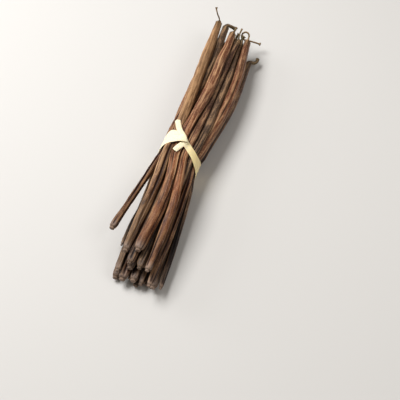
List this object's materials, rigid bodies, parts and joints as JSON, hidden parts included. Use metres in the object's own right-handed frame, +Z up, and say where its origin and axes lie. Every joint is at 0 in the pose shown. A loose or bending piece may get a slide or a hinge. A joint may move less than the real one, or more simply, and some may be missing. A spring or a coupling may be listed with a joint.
{
  "type": "bundle of vanilla pods",
  "caption": "Small bundle of long, wrinkled, cured vanilla pods with curled stem ends, drawn together in the middle by a knotted strip of raffia.",
  "frame": {"origin": "on the surface that the bundle lies on, under the middle of its box", "axes": "+X along the pods towards their hooked stem ends, +Y across the bundle, +Z up"},
  "size_m": [0.1738, 0.0343, 0.0233],
  "materials": {
    "cured_pod": "cured pod skin: dark brown, lengthwise wrinkles, slightly oily sheen",
    "raffia": "dried palm leaf strip: pale straw colour, fine lengthwise fibres, matte"
  },
  "bodies": {
    "root": {"pods": "cured_pod", "raffia_tie": "raffia"}
  },
  "joints": []
}
